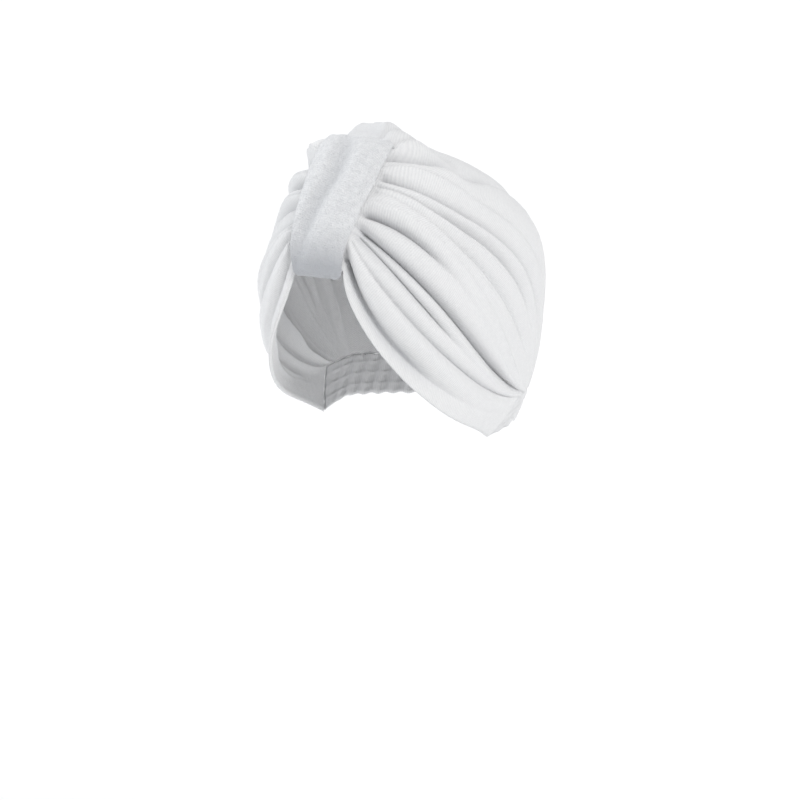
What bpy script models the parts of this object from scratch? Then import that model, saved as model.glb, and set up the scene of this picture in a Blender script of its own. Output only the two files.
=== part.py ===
"""A turban hat of soft terry cloth, as it keeps its form when worn.

The crown is one cloth cap, gathered on the forehead and folded back over both sides to the nape. A flat strap
wraps the gathers on the forehead, and a short elastic strip gathers the cloth at the nape.
The hat faces -Y, and its origin is where the crown rests on the top of the head.
"""
from collections import namedtuple

import bpy
import numpy as np

MM = 0.001

# The head-like form that the cloth covers, in mm from its middle
HALF_WIDTH = 77.5
FRONT_DEPTH = 91.0
BACK_DEPTH = 88.0
TOP_RISE = 75.0
DROP_FRONT = 114.0
DROP_BACK = 128.0
SQUARENESS = 2.13
# The lower half grows from the front's depth to the back's between these places, as directions along Y
FRONT_ENDS_AT = -0.2
BACK_STARTS_AT = 0.3

# Where the crown rests on the head, in mm from the form's middle
SEAT_BACK = 15.0
SEAT_UP = 74.0

# How far the gathers stand off that form, in mm, at each angle up and over from the front, in degrees
Puff = namedtuple("Puff", "around rise")
PUFFS = (
    Puff(-20, 0.0),
    Puff(12, 1.5),
    Puff(28, 8.0),
    Puff(45, 15.5),
    Puff(60, 21.5),
    Puff(74, 21.5),
    Puff(83, 10.5),
    Puff(92, 3.2),
    Puff(102, 3.0),
    Puff(115, 1.0),
    Puff(180, 0.0),
)
PUFF_SIDE_SPREAD = 34.0
PUFF_SIDE_POWER = 3.0

# The cloth, in mm
WALL = 2.4
GAP = 0.4
WELD_WITHIN = 0.02

# The strap over the gathers: its thickness, the padding on each side of its dip and the half width of its tucked
# end in mm, and the rises of its ends in degrees up from the front
BAND_THICK = 3.0
BAND_PUFF = 3.0
BAND_PUFF_FULL_AT = 0.22
BAND_DIP_WIDTH = 6.0
BAND_EDGE_POWER = 4
BAND_TUCK_HALF = 10.0
HEM_RISE = 14.5
BAND_TUCK_RISE = 23.0
BAND_TOP_RISE = 62.0
BAND_END_RISE = 63.5
# The strap's top in mm up from the hem, and how the crown closes in behind it
BAND_TOP_AT = 86.0
TOP_GATHER_AT = 95.0
TOP_GATHER_SHARE = 0.36
RISE_A_MM_PAST_TOP = 0.45
# The strap's edges, in mm from the middle line on the wearer's right and left, at each share of the way up
Edge = namedtuple("Edge", "up right left")
STRAP_EDGES = (
    Edge(0.0, 13.5, 18.0),
    Edge(0.08, 15.2, 18.2),
    Edge(0.2, 15.5, 19.2),
    Edge(0.34, 15.5, 22.0),
    Edge(0.47, 15.8, 23.4),
    Edge(0.6, 16.5, 25.2),
    Edge(0.75, 17.8, 25.2),
    Edge(0.9, 19.3, 24.4),
    Edge(1.0, 20.0, 23.0),
)
# The soft dip down the strap: its place in mm from the middle line at each share of the way up
Dip = namedtuple("Dip", "up across")
BAND_DIP = (
    Dip(0.0, -11.0),
    Dip(0.2, -8.0),
    Dip(0.4, -4.0),
    Dip(0.6, 0.0),
    Dip(0.8, -4.0),
    Dip(1.0, -9.0),
)

# The nape, in mm from the form's middle, and the strip below it, whose ribs fade out towards its two ends
HEM_CORNER = (57.4, -0.5, -83.5)
FOLDS_MEET = (68.0, 16.0, -60.0)
SIDE_RUN = 27.0
NAPE_HALF_WIDTH = 69.5
NAPE_DEPTH = 78.0
NAPE_LEVEL = -55.0
LEVEL_REACHED_AT = 0.2
NAPE_RUN = 86.0
NAPE_HEM_HALF_WIDTH = 57.5
NAPE_HEM_LEVEL = -72.0
HEM_LEVEL_REACHED_AT = 0.25
NAPE_HEM_DEPTH = 62.0
RIB_COUNT = 22
RIB_DEPTH = 0.9
RIBS_FADE_WITHIN = 0.125

# Each row is a fold's line, from the hem up to the middle of the top. Its places along the band and the nape are
# in mm, and its turns from the front and rises above level, a third and two thirds of the way, are in degrees.
Fold = namedtuple("Fold", "name band turn_1 rise_1 turn_2 rise_2 nape")
FOLDS = (
    Fold("hem", 0, 22, -10.5, 52, -40.2, 0),
    Fold("panel dip", 9, 29, -14, 60, -37, 14),
    Fold("panel edge", 21, 33, 0, 70, -33, 27),
    Fold("low twin", 26, 41, 2, 72, -29, 29.5),
    Fold("main fold", 30, 50, 0, 75, -26, 32),
    Fold("temple fold", 39, 52, 15, 79, -21, 34),
    Fold("side crease", 47, 57, 19, 82, -17, 36),
    Fold("side dip", 53, 55, 28, 87, -6, 38),
    Fold("high fold", 58, 61, 33, 93, 4, 40),
    Fold("crown fold", 65, 61, 41, 99, 13, 43),
    Fold("upper line", 72, 81, 45, 114, 13, 58),
    Fold("top fold", 80, 82, 59, 145, 22, 84),
    Fold("top ridge", 95, 165, 68, 174, 15, 103),
    Fold("middle", 98, 180, 69, 180, 13, 113),
)

# The same folds' valleys: how deep they are, how wide above and below their line, and how high the lip below them
# stands, all in mm. A fold starts and ends at a share of its way from the band to the nape.
Valley = namedtuple("Valley", "name deep above below lip start end")
VALLEYS = (
    Valley("hem", 0.0, 3, 3, 0.0, 0.0, 1.0),
    Valley("panel dip", 7.5, 11, 7, 0.0, 0.0, 0.75),
    Valley("panel edge", 4.0, 8, 3, 0.8, 0.0, 1.0),
    Valley("low twin", 4.5, 4, 4, 0.3, 0.0, 0.6),
    Valley("main fold", 7.0, 6, 3, 1.2, 0.0, 1.0),
    Valley("temple fold", 6.0, 6, 5, 0.0, 0.0, 0.45),
    Valley("side crease", 1.5, 9, 6, 1.0, 0.0, 0.7),
    Valley("side dip", 3.0, 7, 5, 0.0, 0.25, 0.85),
    Valley("high fold", 8.0, 6, 2.5, 2.0, 0.15, 0.85),
    Valley("crown fold", 4.0, 6, 3, 1.0, 0.0, 1.0),
    Valley("upper line", 1.5, 5, 3, 0.6, 0.1, 1.0),
    Valley("top fold", 6.0, 8, 5, 1.0, 0.0, 1.0),
    Valley("top ridge", -8.5, 7, 9, 0.0, 0.02, 0.3),
    Valley("middle", 4.0, 6, 6, 0.0, 0.03, 0.3),
)

# How far the cloth swells between each fold and the next, in mm
Swell = namedtuple("Swell", "above_the height")
SWELLS = (
    Swell("hem", 0.5),
    Swell("panel dip", 1.0),
    Swell("panel edge", 0.0),
    Swell("low twin", 0.5),
    Swell("main fold", 0.5),
    Swell("temple fold", 0.5),
    Swell("side crease", 0.5),
    Swell("side dip", 0.5),
    Swell("high fold", 0.5),
    Swell("crown fold", 0.5),
    Swell("upper line", 1.2),
    Swell("top fold", 0.5),
    Swell("top ridge", 0.0),
)

# The gathers beside the strap, on the wearer's left and right, in mm: each tuck's place up from the hem, how deep
# it is, and how far the cloth swells between it and the next. Their reach is a share of the way to the nape.
Gather = namedtuple("Gather", "place deep swell")
LEFT_GATHERS = (
    Gather(0, 0.0, 1.0),
    Gather(9, 9.0, 2.0),
    Gather(25, 5.0, 0.0),
    Gather(30, 8.0, 2.0),
    Gather(39, 9.5, 2.0),
    Gather(47, 1.0, 2.0),
    Gather(65, 5.0, 2.0),
    Gather(80, 8.0, 0.0),
    Gather(95, -5.0, 0.0),
    Gather(98, -1.0, 0.0),
)
RIGHT_GATHERS = (
    Gather(0, 0.0, 1.0),
    Gather(12, 2.5, 4.0),
    Gather(22, 3.0, 4.0),
    Gather(31, 5.0, 0.0),
    Gather(41, 8.0, 0.5),
    Gather(55, 9.0, 3.0),
    Gather(69, 11.0, 6.5),
    Gather(84, 2.0, 0.0),
    Gather(89, 4.5, 0.0),
    Gather(95, -3.5, 0.0),
    Gather(98, -1.0, 0.0),
)
GATHER_WIDTH = 3.6
GATHER_SHARPNESS = 1.2
GATHER_FULLNESS = 0.6
LEFT_REACH = 0.2
RIGHT_REACH = 0.4
GATHERS_UNDER_BAND = 0.03
FULL_BESIDE_BAND = 0.04

# The form of a fold: a rounded valley with a raised lip below it, whose widths the table gives in mm
LEAST_WIDTH = 0.3
NARROW_FROM = 0.625
VALLEY_STEEPNESS = 1.2
VALLEY_POWER = 1.3
LIP_PLACE = 1.1
LIP_SPREAD = 0.8
FADES_IN_OVER = 0.12
FADES_OUT_OVER = 0.3

# The form of a swell, by its shares of the way across and along it
SWELL_FULLNESS_ACROSS = 0.8
SWELL_FULLNESS_ALONG = 0.7

# The folds grow shallow towards the nape, from this share of their way down to this share of their depth
NAPE_FLAT_FROM = 0.9
NAPE_FOLD_SHARE = 0.12

# How finely the pieces are made. The crown's middle line under the strap lies at -UNDER_BAND along its rows.
UNDER_BAND = 0.15
ROW_STEPS = (0.0, 0.2, 0.5, 0.8)
BAND_COLUMNS = 3
SIDE_COLUMNS = 18
CLOSER_AT_ENDS = 0.5
TUCK_STATIONS = 4
BEND_STATIONS = 7
BAND_STATIONS = 14
BAND_POINTS_ACROSS = 11
POINTS_A_RIB = 4
NAPE_STATIONS = 5

COLLECTION = "turban_hat"


def unit(p):
    return p / np.linalg.norm(p, axis=-1, keepdims=True)


def heading(turn, rise):
    """The direction at a turn from the front towards +X and a rise above level, in degrees."""
    turn, rise = np.radians(turn), np.radians(rise)
    return np.stack([np.cos(rise) * np.sin(turn), -np.cos(rise) * np.cos(turn), np.sin(rise)], -1)


def eased(x, xs, ys):
    """A smooth curve through the points of a short table."""
    xs, ys = np.asarray(xs, float), np.asarray(ys, float)
    slope = np.gradient(ys, xs)
    i = np.clip(np.searchsorted(xs, x) - 1, 0, len(xs) - 2)
    run = xs[i + 1] - xs[i]
    t = np.clip((x - xs[i]) / run, 0, 1)
    rise_in = (t**3 - 2 * t**2 + t) * slope[i]
    rise_out = (t**3 - t**2) * slope[i + 1]
    return (2 * t**3 - 3 * t**2 + 1) * ys[i] + (3 * t**2 - 2 * t**3) * ys[i + 1] + run * (rise_in + rise_out)


def form_radius(d):
    """How far the smooth covering lies from the form's middle, in mm, in each direction."""
    backness = np.clip((d[..., 1] - FRONT_ENDS_AT) / (BACK_STARTS_AT - FRONT_ENDS_AT), 0, 1)
    drop = DROP_FRONT + (DROP_BACK - DROP_FRONT) * backness**2 * (3 - 2 * backness)
    across = np.abs(d[..., 0]) / HALF_WIDTH
    along = np.abs(d[..., 1]) / np.where(d[..., 1] < 0, FRONT_DEPTH, BACK_DEPTH)
    height = np.abs(d[..., 2]) / np.where(d[..., 2] > 0, TOP_RISE, drop)
    form = (across**SQUARENESS + along**SQUARENESS + height**SQUARENESS) ** (-1 / SQUARENESS)
    around = np.degrees(np.arctan2(d[..., 2], -d[..., 1]))
    around = np.where(around < -90, around + 360, around)
    puff = eased(around, [p.around for p in PUFFS], [p.rise for p in PUFFS])
    side = np.degrees(np.arcsin(np.clip(np.abs(d[..., 0]), 0, 1)))
    return form + puff * np.exp(-((side / PUFF_SIDE_SPREAD) ** PUFF_SIDE_POWER))


def column(table, key, v):
    """A table column's value at each row, whole rows being the folds themselves."""
    return np.interp(v, range(len(table)), [getattr(row, key) for row in table])


def fold_heading(turn_key, rise_key, v):
    turns = [getattr(f, turn_key) for f in FOLDS]
    rises = [getattr(f, rise_key) for f in FOLDS]
    ends = heading(turns, rises)
    return np.stack([np.interp(v, range(len(FOLDS)), ends[:, k]) for k in range(3)], -1)


def band_heading(place, half):
    """The direction of a point beside the middle line, at a place in mm up from the hem."""
    rise = np.interp(place, (0, BAND_TOP_AT), (HEM_RISE, BAND_TOP_RISE))
    rise = rise + np.clip(place - BAND_TOP_AT, 0, None) * RISE_A_MM_PAST_TOP
    middle = heading(np.zeros_like(rise), rise)
    p = middle * form_radius(middle)[..., None]
    p[..., 0] = half
    return unit(p)


def strap_edge(place, side):
    """How far the strap's edge, and the crown's edge past its end, lies from the middle line on one side, in mm."""
    up = np.clip(place / BAND_TOP_AT, 0, 1)
    edge = eased(up, [e.up for e in STRAP_EDGES], [e.left if side > 0 else e.right for e in STRAP_EDGES])
    return edge * np.interp(place, (BAND_TOP_AT, TOP_GATHER_AT, FOLDS[-1].band), (1, TOP_GATHER_SHARE, 0))


def nape_heading(place):
    """The direction of a point on the crown's rear edge, up from the hem's corner and then round the nape."""
    place = np.asarray(place, float)
    corner, meet = np.array(HEM_CORNER), np.array(FOLDS_MEET)
    side = corner + (meet - corner) * np.clip(place / SIDE_RUN, 0, 1)[..., None]
    past = np.clip((place - SIDE_RUN) / NAPE_RUN, 0, 1)
    first = np.arctan2(meet[1] / NAPE_DEPTH, meet[0] / NAPE_HALF_WIDTH)
    turn = first + (np.pi / 2 - first) * past
    level = meet[2] + (NAPE_LEVEL - meet[2]) * np.clip(past / LEVEL_REACHED_AT, 0, 1)
    rear = np.stack([NAPE_HALF_WIDTH * np.cos(turn), NAPE_DEPTH * np.sin(turn), level], -1)
    return unit(np.where((place <= SIDE_RUN)[..., None], side, rear))


def crown_direction(u, v, side):
    """The direction of a point on the crown, on row v of the folds, with u from 0 at the band to 1 at the nape."""
    place = column(FOLDS, "band", v)
    start = band_heading(place, strap_edge(place, side))
    middle = band_heading(place, np.zeros_like(place))
    first = fold_heading("turn_1", "rise_1", v)
    second = fold_heading("turn_2", "rise_2", v)
    end = nape_heading(column(FOLDS, "nape", v))
    t = np.clip(u, 0, 1)[..., None]
    third = 1 / 3
    way = start * -4.5 * (t - third) * (t - 2 * third) * (t - 1)
    way = way + first * 13.5 * t * (t - 2 * third) * (t - 1)
    way = way - second * 13.5 * t * (t - third) * (t - 1)
    way = way + end * 4.5 * t * (t - third) * (t - 2 * third)
    under = np.clip(-u / UNDER_BAND, 0, 1)[..., None]
    return unit(np.where(u[..., None] < 0, start * (1 - under) + middle * under, way))


def near_band(u, reach):
    """How much a place shares in the gathers beside the strap, from 1 there to 0 farther along."""
    return np.exp(-((np.clip(u, 0, 1) / reach) ** 2))


def gathers_relief(place, gathers):
    """How far the gathers beside the strap rise or sink at each place, in mm."""
    places = np.array([g.place for g in gathers], float)
    lower = np.clip(np.searchsorted(places, place, side="right") - 1, 0, len(places) - 2)
    share = np.clip((place - places[lower]) / (places[lower + 1] - places[lower]), 0, 1)
    swell = np.array([g.swell for g in gathers])[lower]
    relief = swell * np.clip(np.sin(np.pi * share), 0, 1) ** GATHER_FULLNESS
    for g in gathers:
        relief = relief - g.deep * np.exp(-((np.abs(place - g.place) / GATHER_WIDTH) ** GATHER_SHARPNESS))
    return relief


def swell_relief(u, v):
    """The soft rise of the cloth between each fold and the next, in mm."""
    lower = np.minimum(np.floor(v), len(SWELLS) - 1).astype(int)
    between = np.clip(np.sin(np.pi * (v - lower)), 0, 1) ** SWELL_FULLNESS_ACROSS
    height = np.array([s.height for s in SWELLS])[lower]
    return height * between * np.clip(np.sin(np.pi * np.clip(u, 0, 1)), 0, 1) ** SWELL_FULLNESS_ALONG


def fold_relief(u, v, points):
    """How far the folds lift or sink each point of the grid off the smooth covering, in mm."""
    steps = np.linalg.norm(np.diff(points, axis=0), axis=-1)
    across = np.vstack([np.zeros(points.shape[1]), np.cumsum(steps, axis=0)])
    rows = v[:, 0]
    last = len(VALLEYS) - 1

    def place(row):
        row = np.clip(row, 0, last)
        return np.array([np.interp(row, rows, line) for line in across.T])

    relief = np.zeros_like(u)
    for k, fold in enumerate(VALLEYS):
        away = across - place(k)
        above = np.minimum(fold.above, (place(k + 1) - place(k)) / 2 if k < last else fold.above)
        below = np.minimum(fold.below, (place(k) - place(k - 1)) / 2 if k else fold.below)
        above, below = above + LEAST_WIDTH, below + LEAST_WIDTH
        tight = np.minimum(1, np.minimum(above / fold.above, below / fold.below) / NARROW_FROM)
        begin = np.clip((u - fold.start) / FADES_IN_OVER, 0, 1) if fold.start else 1
        finish = np.clip((fold.end - u) / FADES_OUT_OVER, 0, 1) if fold.end < 1 else 1
        share = tight * begin * finish
        shares = np.abs(away) / np.where(away < 0, below, above)
        valley = np.exp(-VALLEY_STEEPNESS * shares**VALLEY_POWER)
        lip = np.exp(-(((away + LIP_PLACE * below) / (LIP_SPREAD * below)) ** 2)) if k else 0
        relief += share * (fold.lip * lip - fold.deep * valley)
    return relief


def crown_points(columns, rows, side):
    """The crown's outer face on one side, as a grid of points in mm."""
    u, v = np.meshgrid(columns, rows)
    d = crown_direction(u, v, side)
    smooth = d * form_radius(d)[..., None]
    beside = gathers_relief(column(FOLDS, "band", v), LEFT_GATHERS if side > 0 else RIGHT_GATHERS)
    tucks = np.minimum(beside, 0) * np.clip((u + GATHERS_UNDER_BAND) / FULL_BESIDE_BAND, 0, 1)
    beside = tucks + np.maximum(beside, 0) * np.clip(u / FULL_BESIDE_BAND, 0, 1)
    farther = fold_relief(u, v, smooth) + swell_relief(u, v)
    near = near_band(u, LEFT_REACH if side > 0 else RIGHT_REACH)
    relief = beside * near + farther * (1 - near)
    relief *= np.interp(u, (NAPE_FLAT_FROM, 1), (1, NAPE_FOLD_SHARE))
    points = smooth + d * relief[..., None]
    points[..., 0] *= side
    return points


def seated(points):
    """Moves points from the form's middle to the seat on the head, in metres."""
    return (np.asarray(points) - (0, SEAT_BACK, SEAT_UP)) * MM


def material(name, colour, roughness):
    cloth = bpy.data.materials.new(name)
    cloth.use_nodes = True
    shader = cloth.node_tree.nodes["Principled BSDF"]
    shader.inputs["Base Color"].default_value = (*colour, 1)
    shader.inputs["Roughness"].default_value = roughness
    shader.inputs["Metallic"].default_value = 0
    return cloth


def grid_faces(first, height, width, turned):
    """The faces of a grid of points, which start at the same corner whether they are turned or not."""
    corners = [first + i * width + j for i in range(height - 1) for j in range(width - 1)]
    if turned:
        return [(a, a + width, a + width + 1, a + 1) for a in corners]
    return [(a, a + 1, a + width + 1, a + width) for a in corners]


def new_piece(name, points, faces, cloth):
    mesh = bpy.data.meshes.new(name)
    mesh.from_pydata([tuple(p) for p in points], [], faces)
    mesh.shade_smooth()
    mesh.materials.append(cloth)
    piece = bpy.data.objects.new(name, mesh)
    bpy.data.collections[COLLECTION].objects.link(piece)
    weld = piece.modifiers.new("join the edges", "WELD")
    weld.merge_threshold = WELD_WITHIN * MM
    return piece


def cloth_wall(name, grids, cloth):
    """A wall of cloth that is even towards the head: an outer and an inner face, closed round their edges."""
    points, faces = [], []
    for grid, turned, open_edges in grids:
        height, width = grid.shape[:2]
        outer = len(points)
        inner = outer + height * width
        inside = grid - unit(grid) * WALL
        points.extend(seated(grid).reshape(-1, 3))
        points.extend(seated(inside).reshape(-1, 3))
        faces.extend(grid_faces(outer, height, width, turned))
        faces.extend(grid_faces(inner, height, width, not turned))
        index = np.arange(height * width).reshape(height, width)
        edges = {"bottom": index[0], "rear": index[:, -1], "top": index[-1][::-1], "front": index[::-1, 0]}
        for edge in open_edges:
            line = edges[edge]
            for a, b in zip(line[:-1], line[1:]):
                face = (outer + b, outer + a, inner + a, inner + b)
                faces.append(face[::-1] if turned else face)
    return new_piece(name, points, faces, cloth)


def make_crown(cloth):
    """Both sides of the cap, which share their points on the middle line."""
    rows = [k + step for k in range(len(FOLDS) - 1) for step in ROW_STEPS] + [len(FOLDS) - 1]
    spread = np.linspace(0, 1, SIDE_COLUMNS + 1)[1:]
    along = spread - CLOSER_AT_ENDS * np.sin(2 * np.pi * spread) / (2 * np.pi)
    columns = np.concatenate([UNDER_BAND * np.linspace(-1, 0, BAND_COLUMNS + 1), along])
    left, right = (crown_points(columns, rows, side) for side in (1, -1))
    left[-1] = right[-1] = (left[-1] + right[-1]) / 2
    open_edges = ("bottom", "rear")
    return cloth_wall("crown", [(left, False, open_edges), (right, True, open_edges)], cloth)


def make_band(cloth):
    """The strap's middle surface: up the inside of the hem, round its edge and up over the gathers."""
    inner = WALL + GAP + BAND_THICK / 2
    outer = GAP + BAND_THICK / 2
    tuck = np.linspace(BAND_TUCK_RISE, HEM_RISE, TUCK_STATIONS)
    stations = [(rise, -inner, -1) for rise in tuck]
    bend = (inner + outer) / 2
    for turn in np.linspace(0, 180, BEND_STATIONS)[1:-1]:
        lower = np.degrees(bend * np.sin(np.radians(turn)) / FRONT_DEPTH)
        lift = outer - bend - bend * np.cos(np.radians(turn))
        stations.append((HEM_RISE - lower, lift, turn / 180 - 1))
    for rise in np.linspace(HEM_RISE, BAND_END_RISE, BAND_STATIONS):
        stations.append((rise, outer, (rise - HEM_RISE) / (BAND_END_RISE - HEM_RISE)))
    across = np.linspace(-1, 1, BAND_POINTS_ACROSS)
    grid = []
    for rise, lift, stage in stations:
        # A stage runs from -1 in the tuck to 0 where the strap has turned up round the hem, and on to 1 at its top
        middle = heading(0.0, rise)
        up = max(stage, 0)
        left, right = (strap_edge(up * BAND_TOP_AT, side) for side in (1, -1))
        half = np.where(across > 0, left, right)
        line = np.tile(middle * form_radius(middle), (len(across), 1))
        line[:, 0] = across * (half + (BAND_TUCK_HALF - half) * max(-stage, 0))
        d = unit(line)
        dip = eased(up, [p.up for p in BAND_DIP], [p.across for p in BAND_DIP])
        filled = BAND_PUFF * np.clip(min(up, 1 - up) / BAND_PUFF_FULL_AT, 0, 1)
        puff = 1 - np.exp(-(((line[:, 0] - dip) / BAND_DIP_WIDTH) ** 2))
        puff = filled * puff * (1 - across**BAND_EDGE_POWER)
        grid.append(d * (form_radius(d) + lift + puff)[:, None])
    grid = np.array(grid)
    band = new_piece("front_band", seated(grid).reshape(-1, 3), grid_faces(0, *grid.shape[:2], False), cloth)
    wall = band.modifiers.new("cloth thickness", "SOLIDIFY")
    wall.thickness = BAND_THICK * MM
    wall.offset = 0
    return band


def make_nape_gather(cloth):
    """The ribbed strip at the nape, from the crown's rear edge down to its own hem."""
    ribs = np.linspace(-1, 1, RIB_COUNT * POINTS_A_RIB + 1)
    grid = []
    for down in np.linspace(0, 1, NAPE_STATIONS):
        line = []
        for place in ribs:
            top = nape_heading(SIDE_RUN + NAPE_RUN * (1 - abs(place)))
            top = unit(top + np.array([0, GAP, -GAP]) / NAPE_DEPTH)
            low_turn = np.arctan2(HEM_CORNER[1] / NAPE_HEM_DEPTH, HEM_CORNER[0] / NAPE_HEM_HALF_WIDTH)
            turn = np.pi / 2 - (np.pi / 2 - low_turn) * abs(place)
            level = np.interp(1 - abs(place), (0, HEM_LEVEL_REACHED_AT), (HEM_CORNER[2], NAPE_HEM_LEVEL))
            low = (NAPE_HEM_HALF_WIDTH * np.cos(turn), NAPE_HEM_DEPTH * np.sin(turn) + GAP, level)
            low = unit(np.array(low))
            d = unit(top * (1 - down) + low * down)
            rib = RIB_DEPTH * np.cos(np.pi * RIB_COUNT * place) * min(1, (1 - abs(place)) / RIBS_FADE_WITHIN)
            p = d * (form_radius(d) + rib - RIB_DEPTH)
            line.append((p[0] * np.sign(place), p[1], p[2]))
        grid.append(line)
    return cloth_wall("nape_gather", [(np.array(grid), False, ("bottom", "rear", "top", "front"))], cloth)


def main():
    for old in list(bpy.data.objects):
        bpy.data.objects.remove(old, do_unlink=True)
    hat = bpy.data.collections.new(COLLECTION)
    bpy.context.scene.collection.children.link(hat)
    folds_cloth = material("terry_knit", (0.84, 0.85, 0.88), 0.9)
    band_cloth = material("band_terry", (0.80, 0.82, 0.86), 0.95)
    rib_cloth = material("nape_rib_knit", (0.82, 0.83, 0.86), 0.9)
    make_crown(folds_cloth)
    make_band(band_cloth)
    make_nape_gather(rib_cloth)


main()
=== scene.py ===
# %% [markdown]
# # A turban hat of soft terry, step by step
# The hat is sewn from very little: one cap of knitted terry, a strap that gathers it on the forehead, and
# a short elastic strip at the nape. Its looks come from how the cloth folds, so most of this lesson is
# about folds: how they fan out from the strap, where they crease sharply and where they only roll. The
# first cell loads the fixed model that everything here has to fit.

# %% Load the fixed model
import math
from collections import namedtuple

import bmesh
import bpy
import numpy as np
from mathutils import Matrix, Vector, noise


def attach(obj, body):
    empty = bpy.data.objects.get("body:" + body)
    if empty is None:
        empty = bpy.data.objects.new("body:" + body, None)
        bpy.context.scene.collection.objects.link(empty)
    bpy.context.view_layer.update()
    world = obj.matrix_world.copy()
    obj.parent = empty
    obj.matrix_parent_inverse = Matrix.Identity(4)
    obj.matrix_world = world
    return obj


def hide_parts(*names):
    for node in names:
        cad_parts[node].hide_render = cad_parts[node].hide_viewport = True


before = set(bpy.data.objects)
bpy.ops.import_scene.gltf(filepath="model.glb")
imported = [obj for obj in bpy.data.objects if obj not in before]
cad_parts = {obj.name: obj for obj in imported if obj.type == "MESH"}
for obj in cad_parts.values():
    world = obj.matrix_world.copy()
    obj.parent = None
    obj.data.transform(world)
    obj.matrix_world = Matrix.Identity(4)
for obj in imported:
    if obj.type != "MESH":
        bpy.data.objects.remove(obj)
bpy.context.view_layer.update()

MM = 0.001

# %% [markdown]
# ## Camera
# The hat is seen from its front left, a little from above, through a long lens, so that it isn't
# distorted. A camera could be pointed with a constraint. Here its three axes are worked out from two
# angles instead, because the same axes then tell how far to shift it so that the hat sits where it should
# in the frame.

# %% Place the camera
TURN = math.radians(33.25)
RISE = math.radians(13.48)
LENS = 110
SENSOR = 36
FRAME_PIXELS = 800
METRES_A_PIXEL = 0.00058
HEAD_MIDDLE = Vector((0, -0.015, -0.074))
HEAD_MIDDLE_PIXEL = (403.9, 285.3)

to_camera = Vector((math.sin(TURN) * math.cos(RISE), -math.cos(TURN) * math.cos(RISE), math.sin(RISE)))
rightwards = Vector((math.cos(TURN), math.sin(TURN), 0))
upwards = to_camera.cross(rightwards)
distance = LENS / SENSOR * FRAME_PIXELS * METRES_A_PIXEL
aside = (HEAD_MIDDLE_PIXEL[0] - FRAME_PIXELS / 2) * METRES_A_PIXEL
above = (FRAME_PIXELS / 2 - HEAD_MIDDLE_PIXEL[1]) * METRES_A_PIXEL
target = HEAD_MIDDLE - rightwards * aside - upwards * above

camera = bpy.data.objects.new("camera", bpy.data.cameras.new("camera"))
camera.data.lens = LENS
camera.data.sensor_width = SENSOR
camera.data.clip_start = 0.05
camera.data.clip_end = 100
turned = Matrix((rightwards, upwards, to_camera)).transposed().to_4x4()
camera.matrix_world = Matrix.Translation(target + to_camera * distance) @ turned
bpy.context.scene.collection.objects.link(camera)
bpy.context.scene.camera = camera
print("camera", round(distance, 3), "m away")

# %% [markdown]
# ## Floor and light
# White cloth in white light shows its folds only by soft shade. A bright world gives the even light of a
# photo tent, and three suns, wide as clouds, add just enough direction for the folds to read. Area lamps
# would light the floor unevenly near the hat. A sun lights it the same everywhere, so it runs out of the
# picture pure white. Past the floor's end the world shows, and it has to be as white. So much light would
# wash the folds out, so a light path node tells the two apart: the camera sees a brighter world than the
# one that lights the cloth.

# %% Lay the floor
FLOOR_DROP = 0.75
FLOOR_HALF = 30.0
FLOOR_COLOUR = (0.99, 0.99, 0.99, 1)

sheet_of_floor = bmesh.new()
bmesh.ops.create_grid(sheet_of_floor, x_segments=1, y_segments=1, size=FLOOR_HALF)
bmesh.ops.translate(sheet_of_floor, verts=sheet_of_floor.verts, vec=(0, 0, -FLOOR_DROP))
floor = bpy.data.objects.new("floor", bpy.data.meshes.new("floor"))
sheet_of_floor.to_mesh(floor.data)
sheet_of_floor.free()
bpy.context.scene.collection.objects.link(floor)
paint = bpy.data.materials.new("pale floor")
paint.use_nodes = True
matt = paint.node_tree.nodes["Principled BSDF"]
matt.inputs["Base Color"].default_value = FLOOR_COLOUR
matt.inputs["Roughness"].default_value = 1.0
matt.inputs["Specular IOR Level"].default_value = 0.0
floor.data.materials.append(paint)
print("floor", FLOOR_DROP, "m below the hat's seat")

# %% Light the tent
WORLD_AS_LIGHT = 0.46
WORLD_AS_SEEN = 1.1
WORLD_COLOUR = (0.97, 0.985, 1.0, 1)

world = bpy.data.worlds.new("photo tent")
bpy.context.scene.world = world
world.use_nodes = True
tent = world.node_tree
ray = tent.nodes.new("ShaderNodeLightPath")
glow = tent.nodes.new("ShaderNodeMapRange")
glow.inputs["To Min"].default_value = WORLD_AS_LIGHT
glow.inputs["To Max"].default_value = WORLD_AS_SEEN
tent.links.new(ray.outputs["Is Camera Ray"], glow.inputs["Value"])
tent.links.new(glow.outputs["Result"], tent.nodes["Background"].inputs["Strength"])
tent.nodes["Background"].inputs["Color"].default_value = WORLD_COLOUR

Sun = namedtuple("Sun", "name towards strength width colour")
SUNS = (
    Sun("key", (0.95, -0.5, 0.8), 1.5, 22, (1.0, 0.99, 0.98)),
    Sun("fill", (-0.9, -0.4, 0.4), 1.4, 40, (0.96, 0.98, 1.0)),
    Sun("overhead", (0.0, 0.3, 1.0), 0.55, 60, (1.0, 1.0, 1.0)),
)
for sun in SUNS:
    light = bpy.data.objects.new(sun.name, bpy.data.lights.new(sun.name, "SUN"))
    light.data.energy = sun.strength
    light.data.angle = math.radians(sun.width)
    light.data.color = sun.colour
    light.rotation_euler = Vector(sun.towards).to_track_quat("Z", "Y").to_euler()
    bpy.context.scene.collection.objects.link(light)
bpy.context.scene.view_settings.view_transform = "Standard"
print("suns:", [sun.name for sun in SUNS])

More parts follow.
